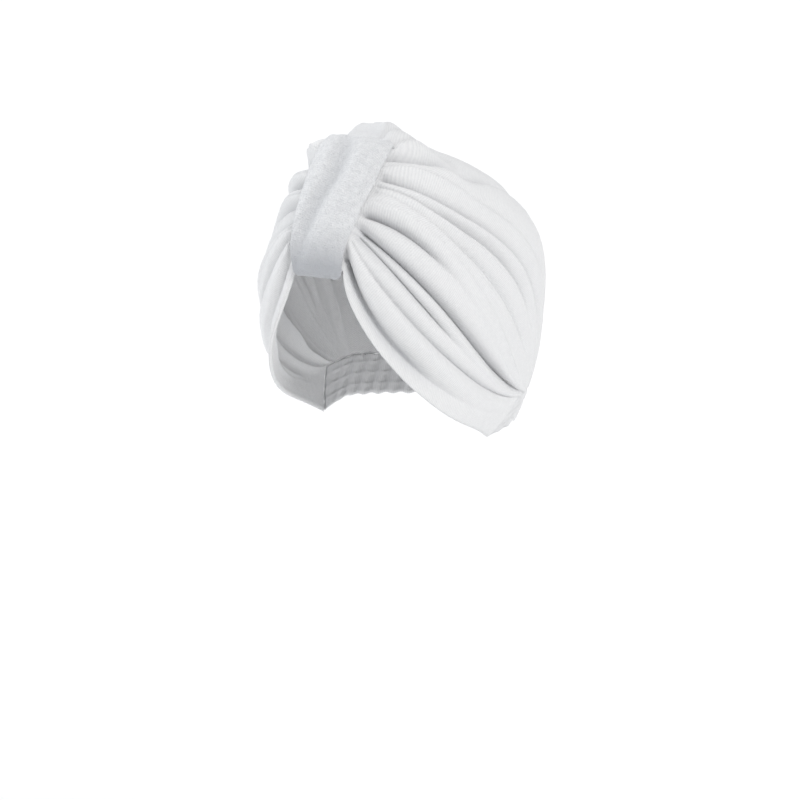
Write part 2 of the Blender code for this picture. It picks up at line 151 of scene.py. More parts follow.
# %% [markdown]
# ## The form under the cloth
# A hat that is worn takes the form of a head, and the gathers stand off it over the forehead. Such a form
# could be sculpted. A rounded box, written as one formula, is easier to keep true: every point of the
# cloth is then a direction from the middle of the head and a distance, and a fold only adds to the
# distance. Sizes from here on are in mm from the middle of the head, and the last step turns them into
# metres.

# %% Describe the form
HALF_WIDTH = 77.5
FRONT_DEPTH = 91.0
BACK_DEPTH = 88.0
TOP_RISE = 75.0
DROP_FRONT = 114.0
DROP_BACK = 128.0
SQUARENESS = 2.13
# The head's back half hangs lower, and the change is spread between these two places from front to back.
FRONT_ENDS_AT = -0.2
BACK_STARTS_AT = 0.3
SEAT_BACK = 15.0
SEAT_UP = 74.0

# How far the gathers stand off, in mm, at each angle in degrees from the front up over the top.
Puff = namedtuple("Puff", "around rise")
PUFFS = (
    Puff(-20, 0.0),
    Puff(12, 1.5),
    Puff(28, 8.0),
    Puff(45, 15.5),
    Puff(60, 21.5),
    Puff(74, 21.5),
    Puff(83, 10.5),
    Puff(92, 3.2),
    Puff(102, 3.0),
    Puff(115, 1.0),
    Puff(180, 0.0),
)
PUFF_SIDE_SPREAD = 34.0
PUFF_SIDE_POWER = 3.0
print("the gathers stand up to", max(p.rise for p in PUFFS), "mm off the head")

# %% Work out the form
def unit(p):
    """Each row of p, made one long."""
    return p / np.linalg.norm(p, axis=-1, keepdims=True)


def heading(turn, rise):
    """The direction at a turn from the front towards +X and a rise above level, in degrees."""
    turn, rise = np.radians(turn), np.radians(rise)
    return np.stack([np.cos(rise) * np.sin(turn), -np.cos(rise) * np.cos(turn), np.sin(rise)], -1)


def eased(x, xs, ys):
    """A smooth curve through the points of a short table."""
    xs, ys = np.asarray(xs, float), np.asarray(ys, float)
    slope = np.gradient(ys, xs)
    i = np.clip(np.searchsorted(xs, x) - 1, 0, len(xs) - 2)
    run = xs[i + 1] - xs[i]
    t = np.clip((x - xs[i]) / run, 0, 1)
    rise_in = (t**3 - 2 * t**2 + t) * slope[i]
    rise_out = (t**3 - t**2) * slope[i + 1]
    start = (2 * t**3 - 3 * t**2 + 1) * ys[i]
    end = (3 * t**2 - 2 * t**3) * ys[i + 1]
    return start + end + run * (rise_in + rise_out)


def form_radius(d):
    """How far the smooth covering lies from the middle of the head, in mm, in each direction."""
    backness = np.clip((d[..., 1] - FRONT_ENDS_AT) / (BACK_STARTS_AT - FRONT_ENDS_AT), 0, 1)
    drop = DROP_FRONT + (DROP_BACK - DROP_FRONT) * backness**2 * (3 - 2 * backness)
    across = np.abs(d[..., 0]) / HALF_WIDTH
    along = np.abs(d[..., 1]) / np.where(d[..., 1] < 0, FRONT_DEPTH, BACK_DEPTH)
    height = np.abs(d[..., 2]) / np.where(d[..., 2] > 0, TOP_RISE, drop)
    form = (across**SQUARENESS + along**SQUARENESS + height**SQUARENESS) ** (-1 / SQUARENESS)
    around = np.degrees(np.arctan2(d[..., 2], -d[..., 1]))
    around = np.where(around < -90, around + 360, around)
    puff = eased(around, [p.around for p in PUFFS], [p.rise for p in PUFFS])
    side = np.degrees(np.arcsin(np.clip(np.abs(d[..., 0]), 0, 1)))
    return form + puff * np.exp(-((side / PUFF_SIDE_SPREAD) ** PUFF_SIDE_POWER))


print("the form reaches", round(float(form_radius(heading(90.0, 0.0))), 1), "mm to each side")

# %% [markdown]
# ## The lines of the folds
# Every fold starts under the strap, runs back over the side of the head and ends low at the nape, where
# the elastic pulls them together. A table holds one row for each: where it leaves the strap, two
# directions that it passes, and where it ends. The one cubic curve through these four is the line of the
# fold. A second table holds the strap's edges, because the folds start there.

# %% Write down the folds
# The band column is in mm up the strap, the nape column in mm along the cap's rear edge, the rest in degrees.
Fold = namedtuple("Fold", "name band turn_1 rise_1 turn_2 rise_2 nape")
FOLDS = (
    Fold("hem", 0, 22, -10.5, 52, -40.2, 0),
    Fold("panel dip", 9, 29, -14, 60, -37, 14),
    Fold("panel edge", 21, 33, 0, 70, -33, 27),
    Fold("low twin", 26, 41, 2, 72, -29, 29.5),
    Fold("main fold", 30, 50, 0, 75, -26, 32),
    Fold("temple fold", 39, 52, 15, 79, -21, 34),
    Fold("side crease", 47, 57, 19, 82, -17, 36),
    Fold("side dip", 53, 55, 28, 87, -6, 38),
    Fold("high fold", 58, 61, 33, 93, 4, 40),
    Fold("crown fold", 65, 61, 41, 99, 13, 43),
    Fold("upper line", 72, 81, 45, 114, 13, 58),
    Fold("top fold", 80, 82, 59, 145, 22, 84),
    Fold("top ridge", 95, 165, 68, 174, 15, 103),
    Fold("middle", 98, 180, 69, 180, 13, 113),
)
# How far each edge of the strap lies from the middle line, in mm, at each share of the way up.
Edge = namedtuple("Edge", "up right left")
STRAP_EDGES = (
    Edge(0.0, 13.5, 18.0),
    Edge(0.08, 15.2, 18.2),
    Edge(0.2, 15.5, 19.2),
    Edge(0.34, 15.5, 22.0),
    Edge(0.47, 15.8, 23.4),
    Edge(0.6, 16.5, 25.2),
    Edge(0.75, 17.8, 25.2),
    Edge(0.9, 19.3, 24.4),
    Edge(1.0, 20.0, 23.0),
)
print(len(FOLDS), "fold lines on each side")

# %% Find where each line runs
BAND_TOP_AT = 86.0
HEM_RISE = 14.5
BAND_TOP_RISE = 62.0
TOP_GATHER_AT = 95.0
TOP_GATHER_SHARE = 0.36
RISE_A_MM_PAST_TOP = 0.45
HEM_CORNER = (57.4, -0.5, -83.5)
FOLDS_MEET = (68.0, 16.0, -60.0)
SIDE_RUN = 27.0
NAPE_HALF_WIDTH = 69.5
NAPE_DEPTH = 78.0
NAPE_LEVEL = -55.0
NAPE_RUN = 86.0
LEVEL_REACHED_AT = 0.2
UNDER_BAND = 0.15
# The factors of the one cubic that passes four directions, at 0, 1/3, 2/3 and 1 of the way.
END_FACTOR = 4.5
INNER_FACTOR = 13.5


def column(table, key, v):
    """A table column's value at each row, whole rows being the folds themselves."""
    return np.interp(v, range(len(table)), [getattr(row, key) for row in table])


def fold_heading(turn_key, rise_key, v):
    """The direction that the fold lines pass, at each row, from two columns of the table."""
    turns = [getattr(f, turn_key) for f in FOLDS]
    rises = [getattr(f, rise_key) for f in FOLDS]
    ends = heading(turns, rises)
    return np.stack([np.interp(v, range(len(FOLDS)), ends[:, k]) for k in range(3)], -1)


def band_heading(place, half):
    """The direction of a point beside the middle line, at a place in mm up from the hem."""
    rise = np.interp(place, (0, BAND_TOP_AT), (HEM_RISE, BAND_TOP_RISE))
    rise = rise + np.clip(place - BAND_TOP_AT, 0, None) * RISE_A_MM_PAST_TOP
    middle = heading(np.zeros_like(rise), rise)
    p = middle * form_radius(middle)[..., None]
    p[..., 0] = half
    return unit(p)


def strap_edge(place, side):
    """How far the strap's edge lies from the middle line, in mm: the left one for side 1, the right for -1.

    Past the strap's end it is how far the crown's gathers reach.
    """
    up = np.clip(place / BAND_TOP_AT, 0, 1)
    edge = eased(up, [e.up for e in STRAP_EDGES], [e.left if side > 0 else e.right for e in STRAP_EDGES])
    return edge * np.interp(place, (BAND_TOP_AT, TOP_GATHER_AT, FOLDS[-1].band), (1, TOP_GATHER_SHARE, 0))


def nape_heading(place):
    """The direction of a point on the cap's rear edge, up from the hem's corner and then round the nape."""
    place = np.asarray(place, float)
    corner, meet = np.array(HEM_CORNER), np.array(FOLDS_MEET)
    side = corner + (meet - corner) * np.clip(place / SIDE_RUN, 0, 1)[..., None]
    past = np.clip((place - SIDE_RUN) / NAPE_RUN, 0, 1)
    first = np.arctan2(meet[1] / NAPE_DEPTH, meet[0] / NAPE_HALF_WIDTH)
    turn = first + (np.pi / 2 - first) * past
    level = meet[2] + (NAPE_LEVEL - meet[2]) * np.clip(past / LEVEL_REACHED_AT, 0, 1)
    rear = np.stack([NAPE_HALF_WIDTH * np.cos(turn), NAPE_DEPTH * np.sin(turn), level], -1)
    return unit(np.where((place <= SIDE_RUN)[..., None], side, rear))


def crown_direction(u, v, side):
    """The direction of a point on the cap, on row v of the folds.

    It is at the strap's edge for u = 0 and at the nape for 1, and below 0 it runs on under the strap.
    """
    place = column(FOLDS, "band", v)
    start = band_heading(place, strap_edge(place, side))
    middle = band_heading(place, np.zeros_like(place))
    first = fold_heading("turn_1", "rise_1", v)
    second = fold_heading("turn_2", "rise_2", v)
    end = nape_heading(column(FOLDS, "nape", v))
    t = np.clip(u, 0, 1)[..., None]
    third = 1 / 3
    way = start * -END_FACTOR * (t - third) * (t - 2 * third) * (t - 1)
    way = way + first * INNER_FACTOR * t * (t - 2 * third) * (t - 1)
    way = way - second * INNER_FACTOR * t * (t - third) * (t - 1)
    way = way + end * END_FACTOR * t * (t - third) * (t - 2 * third)
    under = np.clip(-u / UNDER_BAND, 0, 1)[..., None]
    return unit(np.where(u[..., None] < 0, start * (1 - under) + middle * under, way))


ahead = crown_direction(np.array([0.5]), np.array([0.0]), 1)[0]
print("halfway along, the hem points", ahead.round(2))

# %% [markdown]
# ## Valleys and swells
# Cloth that is gathered doesn't wave evenly. Some lines are deep valleys with a lip along them, some are
# shallow dips, and the cloth swells between them. Two more tables say how deep and how wide each one is,
# in mm, and between which shares of the way back it shows.

# %% Write down the valleys and the swells
# Above and below are the widths to each side of the line. A depth below 0 is a ridge.
Valley = namedtuple("Valley", "name deep above below lip start end")
VALLEYS = (
    Valley("hem", 0.0, 3, 3, 0.0, 0.0, 1.0),
    Valley("panel dip", 7.5, 11, 7, 0.0, 0.0, 0.75),
    Valley("panel edge", 4.0, 8, 3, 0.8, 0.0, 1.0),
    Valley("low twin", 4.5, 4, 4, 0.3, 0.0, 0.6),
    Valley("main fold", 7.0, 6, 3, 1.2, 0.0, 1.0),
    Valley("temple fold", 6.0, 6, 5, 0.0, 0.0, 0.45),
    Valley("side crease", 1.5, 9, 6, 1.0, 0.0, 0.7),
    Valley("side dip", 3.0, 7, 5, 0.0, 0.25, 0.85),
    Valley("high fold", 8.0, 6, 2.5, 2.0, 0.15, 0.85),
    Valley("crown fold", 4.0, 6, 3, 1.0, 0.0, 1.0),
    Valley("upper line", 1.5, 5, 3, 0.6, 0.1, 1.0),
    Valley("top fold", 6.0, 8, 5, 1.0, 0.0, 1.0),
    Valley("top ridge", -8.5, 7, 9, 0.0, 0.02, 0.3),
    Valley("middle", 4.0, 6, 6, 0.0, 0.03, 0.3),
)
Swell = namedtuple("Swell", "above_the height")
SWELLS = (
    Swell("hem", 0.5),
    Swell("panel dip", 1.0),
    Swell("panel edge", 0.0),
    Swell("low twin", 0.5),
    Swell("main fold", 0.5),
    Swell("temple fold", 0.5),
    Swell("side crease", 0.5),
    Swell("side dip", 0.5),
    Swell("high fold", 0.5),
    Swell("crown fold", 0.5),
    Swell("upper line", 1.2),
    Swell("top fold", 0.5),
    Swell("top ridge", 0.0),
)
print("deepest valley", max(valley.deep for valley in VALLEYS), "mm")

# %% [markdown]
# ## Gathers and creases
# Beside the strap the cloth is bunched into lobes, and the two sides differ, as they do on any hat that
# was pulled on by hand. So each side has a table of its tucks, by their place in mm up the strap. A round
# valley would look like dough, though: real cloth folds over into a line. The second pair of tables adds
# these lines. They are cut as spikes, so they stay sharp at any depth, and each one fades at its own
# share of the way back. A depth below 0 is a ridge.

# %% Write down the gathers and the creases
Gather = namedtuple("Gather", "place deep swell")
LEFT_GATHERS = (
    Gather(0, 0.0, 1.0),
    Gather(9, 9.0, 2.0),
    Gather(25, 5.0, 0.0),
    Gather(30, 8.0, 2.0),
    Gather(39, 7.5, 2.0),
    Gather(47, 1.0, 2.0),
    Gather(65, 5.0, 2.0),
    Gather(80, 8.5, 0.0),
    Gather(95, -5.0, 0.0),
    Gather(98, -1.0, 0.0),
)
RIGHT_GATHERS = (
    Gather(0, 0.0, 1.0),
    Gather(12, 2.5, 4.0),
    Gather(22, 3.0, 4.0),
    Gather(31, 5.0, 0.0),
    Gather(41, 8.0, 0.5),
    Gather(55, 9.0, 3.0),
    Gather(69, 11.0, 6.5),
    Gather(84, 2.0, 0.0),
    Gather(89, 4.5, 0.0),
    Gather(95, -3.5, 0.0),
    Gather(98, -1.0, 0.0),
)
Crease = namedtuple("Crease", "place deep width end")
LEFT_CREASES = (
    Crease(10, 4.0, 3.5, 0.5),
    Crease(21, 1.4, 1.1, 1.0),
    Crease(26, 2.4, 0.9, 0.5),
    Crease(28, 1.2, 0.5, 0.35),
    Crease(30, 3.4, 1.5, 1.0),
    Crease(39, 3.8, 0.9, 0.34),
    Crease(47, -1.7, 1.6, 0.9),
    Crease(53, 1.8, 2.6, 0.9),
    Crease(56.5, -1.2, 1.0, 0.8),
    Crease(58, 3.4, 1.3, 0.8),
    Crease(65, 2.2, 1.5, 0.9),
    Crease(72, 1.0, 1.2, 0.9),
    Crease(80, 4.6, 1.4, 0.55),
    Crease(88, 3.6, 1.2, 0.25),
    Crease(92.5, 2.0, 1.0, 0.15),
)
RIGHT_CREASES = (
    Crease(12, 1.6, 1.2, 0.85),
    Crease(17, 1.6, 0.8, 0.45),
    Crease(22, 2.2, 1.2, 0.6),
    Crease(26.5, 1.6, 0.8, 0.4),
    Crease(31, 2.8, 1.2, 0.8),
    Crease(36, 1.8, 0.9, 0.4),
    Crease(41, 3.2, 1.3, 0.7),
    Crease(48, 2.2, 1.0, 0.45),
    Crease(55, 3.6, 1.5, 0.85),
    Crease(62, 2.4, 1.0, 0.35),
    Crease(69, 3.6, 1.5, 0.85),
    Crease(76, 2.8, 1.1, 0.35),
    Crease(84, 2.0, 1.2, 0.4),
)
print(len(LEFT_CREASES), "creases on the left,", len(RIGHT_CREASES), "on the right")

# %% [markdown]
# ## From the tables to a relief
# Blender could displace the cloth with a texture, but a painted texture knows nothing of the fold lines.
# Here each table becomes a height in mm at every point of the grid, and the heights are added up.

# %% Give the gathers and the swells their height
GATHER_WIDTH = 3.6
GATHER_SHARPNESS = 1.2
GATHER_FULLNESS = 0.6
SWELL_FULLNESS_ACROSS = 0.8
SWELL_FULLNESS_ALONG = 0.7


def near_band(u, reach):
    """How much a place shares in the gathers beside the strap, from 1 there to 0 farther along."""
    return np.exp(-((np.clip(u, 0, 1) / reach) ** 2))


def gathers_relief(place, gathers):
    """The rise of the gathers beside the strap, in mm, at each place up from the hem."""
    places = np.array([g.place for g in gathers], float)
    lower = np.clip(np.searchsorted(places, place, side="right") - 1, 0, len(places) - 2)
    share = np.clip((place - places[lower]) / (places[lower + 1] - places[lower]), 0, 1)
    swell = np.array([g.swell for g in gathers])[lower]
    relief = swell * np.clip(np.sin(np.pi * share), 0, 1) ** GATHER_FULLNESS
    for g in gathers:
        relief = relief - g.deep * np.exp(-((np.abs(place - g.place) / GATHER_WIDTH) ** GATHER_SHARPNESS))
    return relief


def swell_relief(u, v):
    """The soft rise of the cloth between each fold and the next, in mm."""
    lower = np.minimum(np.floor(v), len(SWELLS) - 1).astype(int)
    between = np.clip(np.sin(np.pi * (v - lower)), 0, 1) ** SWELL_FULLNESS_ACROSS
    height = np.array([s.height for s in SWELLS])[lower]
    return height * between * np.clip(np.sin(np.pi * np.clip(u, 0, 1)), 0, 1) ** SWELL_FULLNESS_ALONG


print("tallest swell beside the strap", max(g.swell for g in RIGHT_GATHERS), "mm")

# %% Give the valleys and the creases their depth
LEAST_WIDTH = 0.3
NARROW_FROM = 0.625
VALLEY_STEEPNESS = 1.2
VALLEY_POWER = 1.3
LIP_PLACE = 1.1
LIP_SPREAD = 0.8
FADES_IN_OVER = 0.12
FADES_OUT_OVER = 0.3
CREASE_FADES_OVER = 0.12


def across_the_rows(points):
    """How far each point of a grid lies from the hem, in mm, up its own column."""
    steps = np.linalg.norm(np.diff(points, axis=0), axis=-1)
    return np.vstack([np.zeros(points.shape[1]), np.cumsum(steps, axis=0)])


def fold_relief(u, v, points):
    """How far the folds lift or sink each point of the grid off the smooth covering, in mm."""
    across = across_the_rows(points)
    rows = v[:, 0]
    last = len(VALLEYS) - 1

    def place(row):
        row = np.clip(row, 0, last)
        return np.array([np.interp(row, rows, line) for line in across.T])

    relief = np.zeros_like(u)
    for k, fold in enumerate(VALLEYS):
        away = across - place(k)
        above = np.minimum(fold.above, (place(k + 1) - place(k)) / 2 if k < last else fold.above)
        below = np.minimum(fold.below, (place(k) - place(k - 1)) / 2 if k else fold.below)
        above, below = above + LEAST_WIDTH, below + LEAST_WIDTH
        tight = np.minimum(1, np.minimum(above / fold.above, below / fold.below) / NARROW_FROM)
        begin = np.clip((u - fold.start) / FADES_IN_OVER, 0, 1) if fold.start else 1
        finish = np.clip((fold.end - u) / FADES_OUT_OVER, 0, 1) if fold.end < 1 else 1
        share = tight * begin * finish
        shares = np.abs(away) / np.where(away < 0, below, above)
        valley = np.exp(-VALLEY_STEEPNESS * shares**VALLEY_POWER)
        lip = np.exp(-(((away + LIP_PLACE * below) / (LIP_SPREAD * below)) ** 2)) if k else 0
        relief += share * (fold.lip * lip - fold.deep * valley)
    return relief


def crease_relief(u, v, points, creases):
    """The sharp line at the bottom of the tighter folds, in mm."""
    across = across_the_rows(points)
    places = column(FOLDS, "band", v[:, 0])
    relief = np.zeros_like(u)
    for crease in creases:
        line = np.array([np.interp(crease.place, places, upwards) for upwards in across.T])
        fade = np.clip((crease.end - u) / CREASE_FADES_OVER, 0, 1)
        relief -= crease.deep * fade * np.exp(-(np.abs(across - line) / crease.width))
    return relief


print("deepest crease", max(c.deep for c in LEFT_CREASES + RIGHT_CREASES), "mm")

# %% [markdown]
# ## From a grid to cloth
# A sheet starts as Blender's flat grid, whose points are then moved to their places. That keeps the faces
# in neat rows, so a crease can follow a row exactly. Two numbers on each corner, in metres along and
# across the cloth, tell the materials how the knit runs. A third one on each point darkens the colour by
# how deep in a fold the point lies: it is painted shade in the creases.

# %% A helper for grids of cloth
WELD_WITHIN = 0.02 * MM


def seated(points):
    """Moves points from the middle of the head to the seat on top of it, in metres."""
    return (np.asarray(points) - (0, SEAT_BACK, SEAT_UP)) * MM


def open_edges(sheet):
    """The edges that only one face touches."""
    return [edge for edge in sheet.edges if edge.is_boundary]


def cloth_grid(points, along, across, painted_shade):
    """A bmesh grid at these points, rows by columns, with its UVs in metres along and across the cloth.

    Its float attribute of painted shade, from 0 to 1, tells the materials how far to darken each point.
    """
    height, width = points.shape[:2]
    sheet = bmesh.new()
    knit_layer = sheet.loops.layers.uv.new("knit")
    painted_shade_layer = sheet.verts.layers.float.new("painted_shade")
    bmesh.ops.create_grid(sheet, x_segments=width - 1, y_segments=height - 1, size=1)
    sheet.verts.index_update()
    places = seated(points).reshape(-1, 3)
    knit = np.stack([along.ravel(), across.ravel()], -1) * MM
    painted_shades = np.clip(painted_shade, 0, 1).ravel()
    for vert in sheet.verts:
        vert.co = places[vert.index]
        vert[painted_shade_layer] = painted_shades[vert.index]
    for face in sheet.faces:
        for loop in face.loops:
            loop[knit_layer].uv = knit[loop.vert.index]
    return sheet


def edge_uses(mesh):
    """How many faces share each edge; in a closed wall it is two everywhere."""
    uses = {}
    for face in mesh.polygons:
        for key in face.edge_keys:
            uses[key] = uses.get(key, 0) + 1
    return uses


def finish_piece(name, sheet, cloth):
    """Turns a bmesh into a smooth-shaded object with a material."""
    mesh = bpy.data.meshes.new(name)
    sheet.to_mesh(mesh)
    sheet.free()
    mesh.shade_smooth()
    mesh.materials.append(cloth)
    piece = bpy.data.objects.new(name, mesh)
    bpy.context.scene.collection.objects.link(piece)
    open_count = sum(1 for edge in edge_uses(mesh).values() if edge != 2)
    print(name, len(mesh.vertices), "points,", len(mesh.polygons), "faces, loose edges:", open_count)
    return piece


print("points closer than", round(WELD_WITHIN / MM, 2), "mm are made one")

# %% [markdown]
# ## The wall
# Cloth seen at its edge has a thickness. A Solidify modifier would give one, but with the same corners
# all round. Here the sheet gets its wall from a second, inner copy, which is turned round and bridged to
# the first along the open edges. The two grids lie closer together near an edge, so the edge comes out
# rounded.

# %% A helper for walls of cloth
def wall_of_cloth(name, outer, inner, along, across, painted_shade, cloth):
    """A closed wall between an outer and an inner grid of points."""
    sheet = cloth_grid(outer, along, across, painted_shade)
    number = sheet.verts.layers.int.new("number")
    for vert in sheet.verts:
        vert[number] = vert.index
    bmesh.ops.remove_doubles(sheet, verts=sheet.verts, dist=WELD_WITHIN)
    rim = open_edges(sheet)
    copy = bmesh.ops.duplicate(sheet, geom=sheet.verts[:] + sheet.edges[:] + sheet.faces[:])
    lining = copy["geom"]
    places = seated(inner).reshape(-1, 3)
    for part in lining:
        if isinstance(part, bmesh.types.BMVert):
            part.co = places[part[number]]
    bmesh.ops.reverse_faces(sheet, faces=[part for part in lining if isinstance(part, bmesh.types.BMFace)])
    inner_rim = [part for part in lining if isinstance(part, bmesh.types.BMEdge) and part.is_boundary]
    bmesh.ops.bridge_loops(sheet, edges=rim + inner_rim)
    return finish_piece(name, sheet, cloth)


print("a wall is made of an outer grid, an inner grid and the bridge between them")

# %% [markdown]
# ## Terry and rib knit
# Up close the cloth is a loop pile: a fine, soft grain with a sheen where the loops catch the light along
# the edge of a fold. Where it is stretched the knit shows through as fine slanting wales. Both are made
# from wave and noise textures that drive colour and bump together, so the grain is shaded the same way
# from every side.

# %% Helpers for nodes
WALE = 1.2
WALE_SLANT = math.radians(10)
PILE_GRAIN = 0.85
PILE_CLUMP = 3.0
GRAIN_SHARE = 0.7
CLUMP_SHARE = 0.5
# Loops of this height count as fully light.
PILE_TOP = 0.75
# A wave texture of scale 1 has this many bands in a unit of length.
BANDS_A_UNIT = 20 / (2 * math.pi)


def link(nodes, start, end):
    """Joins two sockets."""
    nodes.id_data.links.new(start, end)


def noise_node(nodes, coordinates, size, detail):
    """A noise texture whose grain is about this many mm wide."""
    grain = nodes.new("ShaderNodeTexNoise")
    grain.inputs["Scale"].default_value = 1 / (size * MM)
    grain.inputs["Detail"].default_value = detail
    grain.inputs["Roughness"].default_value = 0.6
    link(nodes, coordinates, grain.inputs["Vector"])
    return grain.outputs["Fac"]


def math_node(nodes, operation, first, second):
    """A step of arithmetic on two sockets, or on a socket and a number."""
    step = nodes.new("ShaderNodeMath")
    step.operation = operation
    for socket, value in zip(step.inputs, (first, second)):
        if isinstance(value, (int, float)):
            socket.default_value = value
        else:
            link(nodes, value, socket)
    return step.outputs["Value"]


print("wales", WALE, "mm apart, pile", PILE_GRAIN, "mm wide")

# %% Make the materials
def cloth_material(name, light, shade, wales, pile, bump_mm):
    """Knitted terry: slanting wales on its own UVs and pile on object coordinates, in two near colours.

    Deep in the folds the colour is darkened towards the shade colour: this is painted shade.
    """
    cloth = bpy.data.materials.new(name)
    cloth.use_nodes = True
    nodes = cloth.node_tree.nodes
    shader = nodes["Principled BSDF"]
    shader.inputs["Roughness"].default_value = 0.92
    shader.inputs["Sheen Weight"].default_value = 0.35
    shader.inputs["Sheen Roughness"].default_value = 0.6
    shader.inputs["Specular IOR Level"].default_value = 0.2

    place = nodes.new("ShaderNodeTexCoord")
    turn = nodes.new("ShaderNodeMapping")
    turn.inputs["Rotation"].default_value = (0, 0, WALE_SLANT)
    link(nodes, place.outputs["UV"], turn.inputs["Vector"])
    wave = nodes.new("ShaderNodeTexWave")
    wave.inputs["Scale"].default_value = 1 / (WALE * MM * BANDS_A_UNIT)
    wave.inputs["Distortion"].default_value = 1.2
    wave.inputs["Detail"].default_value = 1.0
    wave.inputs["Detail Scale"].default_value = 1.5
    link(nodes, turn.outputs["Vector"], wave.inputs["Vector"])

    grain = noise_node(nodes, place.outputs["Object"], PILE_GRAIN, detail=2)
    clump = noise_node(nodes, place.outputs["Object"], PILE_CLUMP, detail=3)
    fine = math_node(nodes, "MULTIPLY", grain, GRAIN_SHARE)
    coarse = math_node(nodes, "MULTIPLY", clump, CLUMP_SHARE)
    loops = math_node(nodes, "ADD", fine, coarse)
    ribbed = math_node(nodes, "MULTIPLY", wave.outputs["Fac"], wales)
    looped = math_node(nodes, "MULTIPLY", loops, pile)
    height = math_node(nodes, "ADD", ribbed, looped)
    bump = nodes.new("ShaderNodeBump")
    bump.inputs["Distance"].default_value = bump_mm * MM
    bump.inputs["Strength"].default_value = 1.0
    link(nodes, height, bump.inputs["Height"])
    link(nodes, bump.outputs["Normal"], shader.inputs["Normal"])

    tint = nodes.new("ShaderNodeMix")
    tint.data_type = "RGBA"
    tint.inputs["A"].default_value = (*shade, 1)
    tint.inputs["B"].default_value = (*light, 1)
    lightness = math_node(nodes, "DIVIDE", height, wales + pile * PILE_TOP)
    # Painted shade: the colour is darkened where the attribute says a point lies deep in a fold.
    painted_shade_node = nodes.new("ShaderNodeAttribute")
    painted_shade_node.attribute_name = "painted_shade"
    unshaded_share = math_node(nodes, "SUBTRACT", 1.0, painted_shade_node.outputs["Fac"])
    lightness = math_node(nodes, "MULTIPLY", lightness, unshaded_share)
    link(nodes, lightness, tint.inputs["Factor"])
    link(nodes, tint.outputs["Result"], shader.inputs["Base Color"])
    return cloth


TERRY_KNIT = cloth_material(
    "terry knit",
    light=(0.80, 0.80, 0.803),
    shade=(0.64, 0.645, 0.66),
    wales=0.4,
    pile=0.9,
    bump_mm=0.26,
)
BAND_TERRY = cloth_material(
    "band terry",
    light=(0.785, 0.79, 0.802),
    shade=(0.42, 0.432, 0.458),
    wales=0.1,
    pile=1.2,
    bump_mm=0.8,
)
RIB_KNIT = cloth_material(
    "nape rib knit",
    light=(0.79, 0.79, 0.795),
    shade=(0.69, 0.693, 0.705),
    wales=0.8,
    pile=0.5,
    bump_mm=0.2,
)
print("materials:", TERRY_KNIT.name, BAND_TERRY.name, RIB_KNIT.name)

# %% [markdown]
# ## The crown
# The cap is one sheet, from the hem on one side over the top to the hem on the other. It could be draped
# over a head with cloth simulation, but a simulation finds its own folds, and here each fold has its
# place. So the tables above shape it, and finer things are added on top: the turned hem with its sewn
# groove, small gathers that fan out from under the strap, and the slight unevenness of the pile. The rows
# of the grid lie closer together beside each fold line, where the cloth turns sharply.

# %% Set out the crown's rows
ROW_SPACING = 1.55
FEWEST_ROWS = 7
CLOSER_AT_FOLDS = 0.45
HALFWAY = 0.5


def closer_at_ends(count, closeness):
    """Even shares from 0 to 1, drawn towards both ends."""
    even = np.linspace(0, 1, count + 1)
    return even - closeness * np.sin(2 * np.pi * even) / (2 * np.pi)


def crown_rows():
    """The rows of the crown's grid, close beside the fold lines and wider apart between them."""
    folds = np.arange(len(FOLDS), dtype=float)
    lines = crown_direction(np.full(len(FOLDS), HALFWAY), folds, 1)
    widths = np.linalg.norm(np.diff(lines * form_radius(lines)[:, None], axis=0), axis=-1)
    rows = []
    for k, width in enumerate(widths):
        steps = max(FEWEST_ROWS, math.ceil(width / ROW_SPACING))
        rows.extend(k + closer_at_ends(steps, CLOSER_AT_FOLDS)[:-1])
    return np.array(rows + [len(FOLDS) - 1])


print(len(crown_rows()), "rows on each side")

# %% Give the cloth its small relief
HEM_WIDTH = 6.0
HEM_FULLNESS = 0.25
SEAM_DEPTH = 0.3
SEAM_WIDTH = 0.9
PUCKER = 0.12
PUCKER_RUN = 7.0
PUCKER_WIDTH = 4.0
GATHER = 0.35
GATHER_RUN = 4.4
GATHER_REACH = 0.12
GATHER_BEGINS_OVER = 0.02
SECOND_GATHER = 0.6
SECOND_RUN = 1.7 * GATHER_RUN
EDGE_ROUND = 1.1
STEEPEST_EDGE = 0.995


def noise_relief(points, size, amount):
    """Smooth unevenness of about this size and height, both in mm, that depends on the place alone."""
    flat = points.reshape(-1, 3) / size
    values = [noise.noise(Vector(p)) for p in flat]
    return amount * np.array(values).reshape(points.shape[:-1])


def hem_relief(from_hem, along):
    """The turned hem: a slightly thicker edge, the groove of its seam and a slight pucker along it."""
    fullness = HEM_FULLNESS * np.clip((HEM_WIDTH - from_hem) / SEAM_WIDTH, 0, 1)
    groove = SEAM_DEPTH * np.exp(-(((from_hem - HEM_WIDTH) / SEAM_WIDTH) ** 2))
    pucker = PUCKER * np.sin(2 * np.pi * along / PUCKER_RUN)
    pucker = pucker * np.exp(-(((from_hem - HEM_WIDTH) / PUCKER_WIDTH) ** 2))
    return fullness - groove + pucker


def gather_relief(u, place):
    """Small gathers that run out from under the strap."""
    wave = np.sin(2 * np.pi * place / GATHER_RUN)
    wave = wave + SECOND_GATHER * np.sin(2 * np.pi * place / SECOND_RUN + 1)
    fade = np.exp(-((np.clip(u, 0, 1) / GATHER_REACH) ** 2))
    return GATHER * wave * fade * np.clip(u / GATHER_BEGINS_OVER, 0, 1)


def edge_drop(distance):
    """How far a rounded edge falls back from the cloth's face, this far in from the edge."""
    share = np.clip(1 - distance / EDGE_ROUND, 0, 1)
    return EDGE_ROUND * (1 - np.sqrt(1 - np.minimum(share, STEEPEST_EDGE) ** 2))


print("the hem is turned in", HEM_WIDTH, "mm wide")

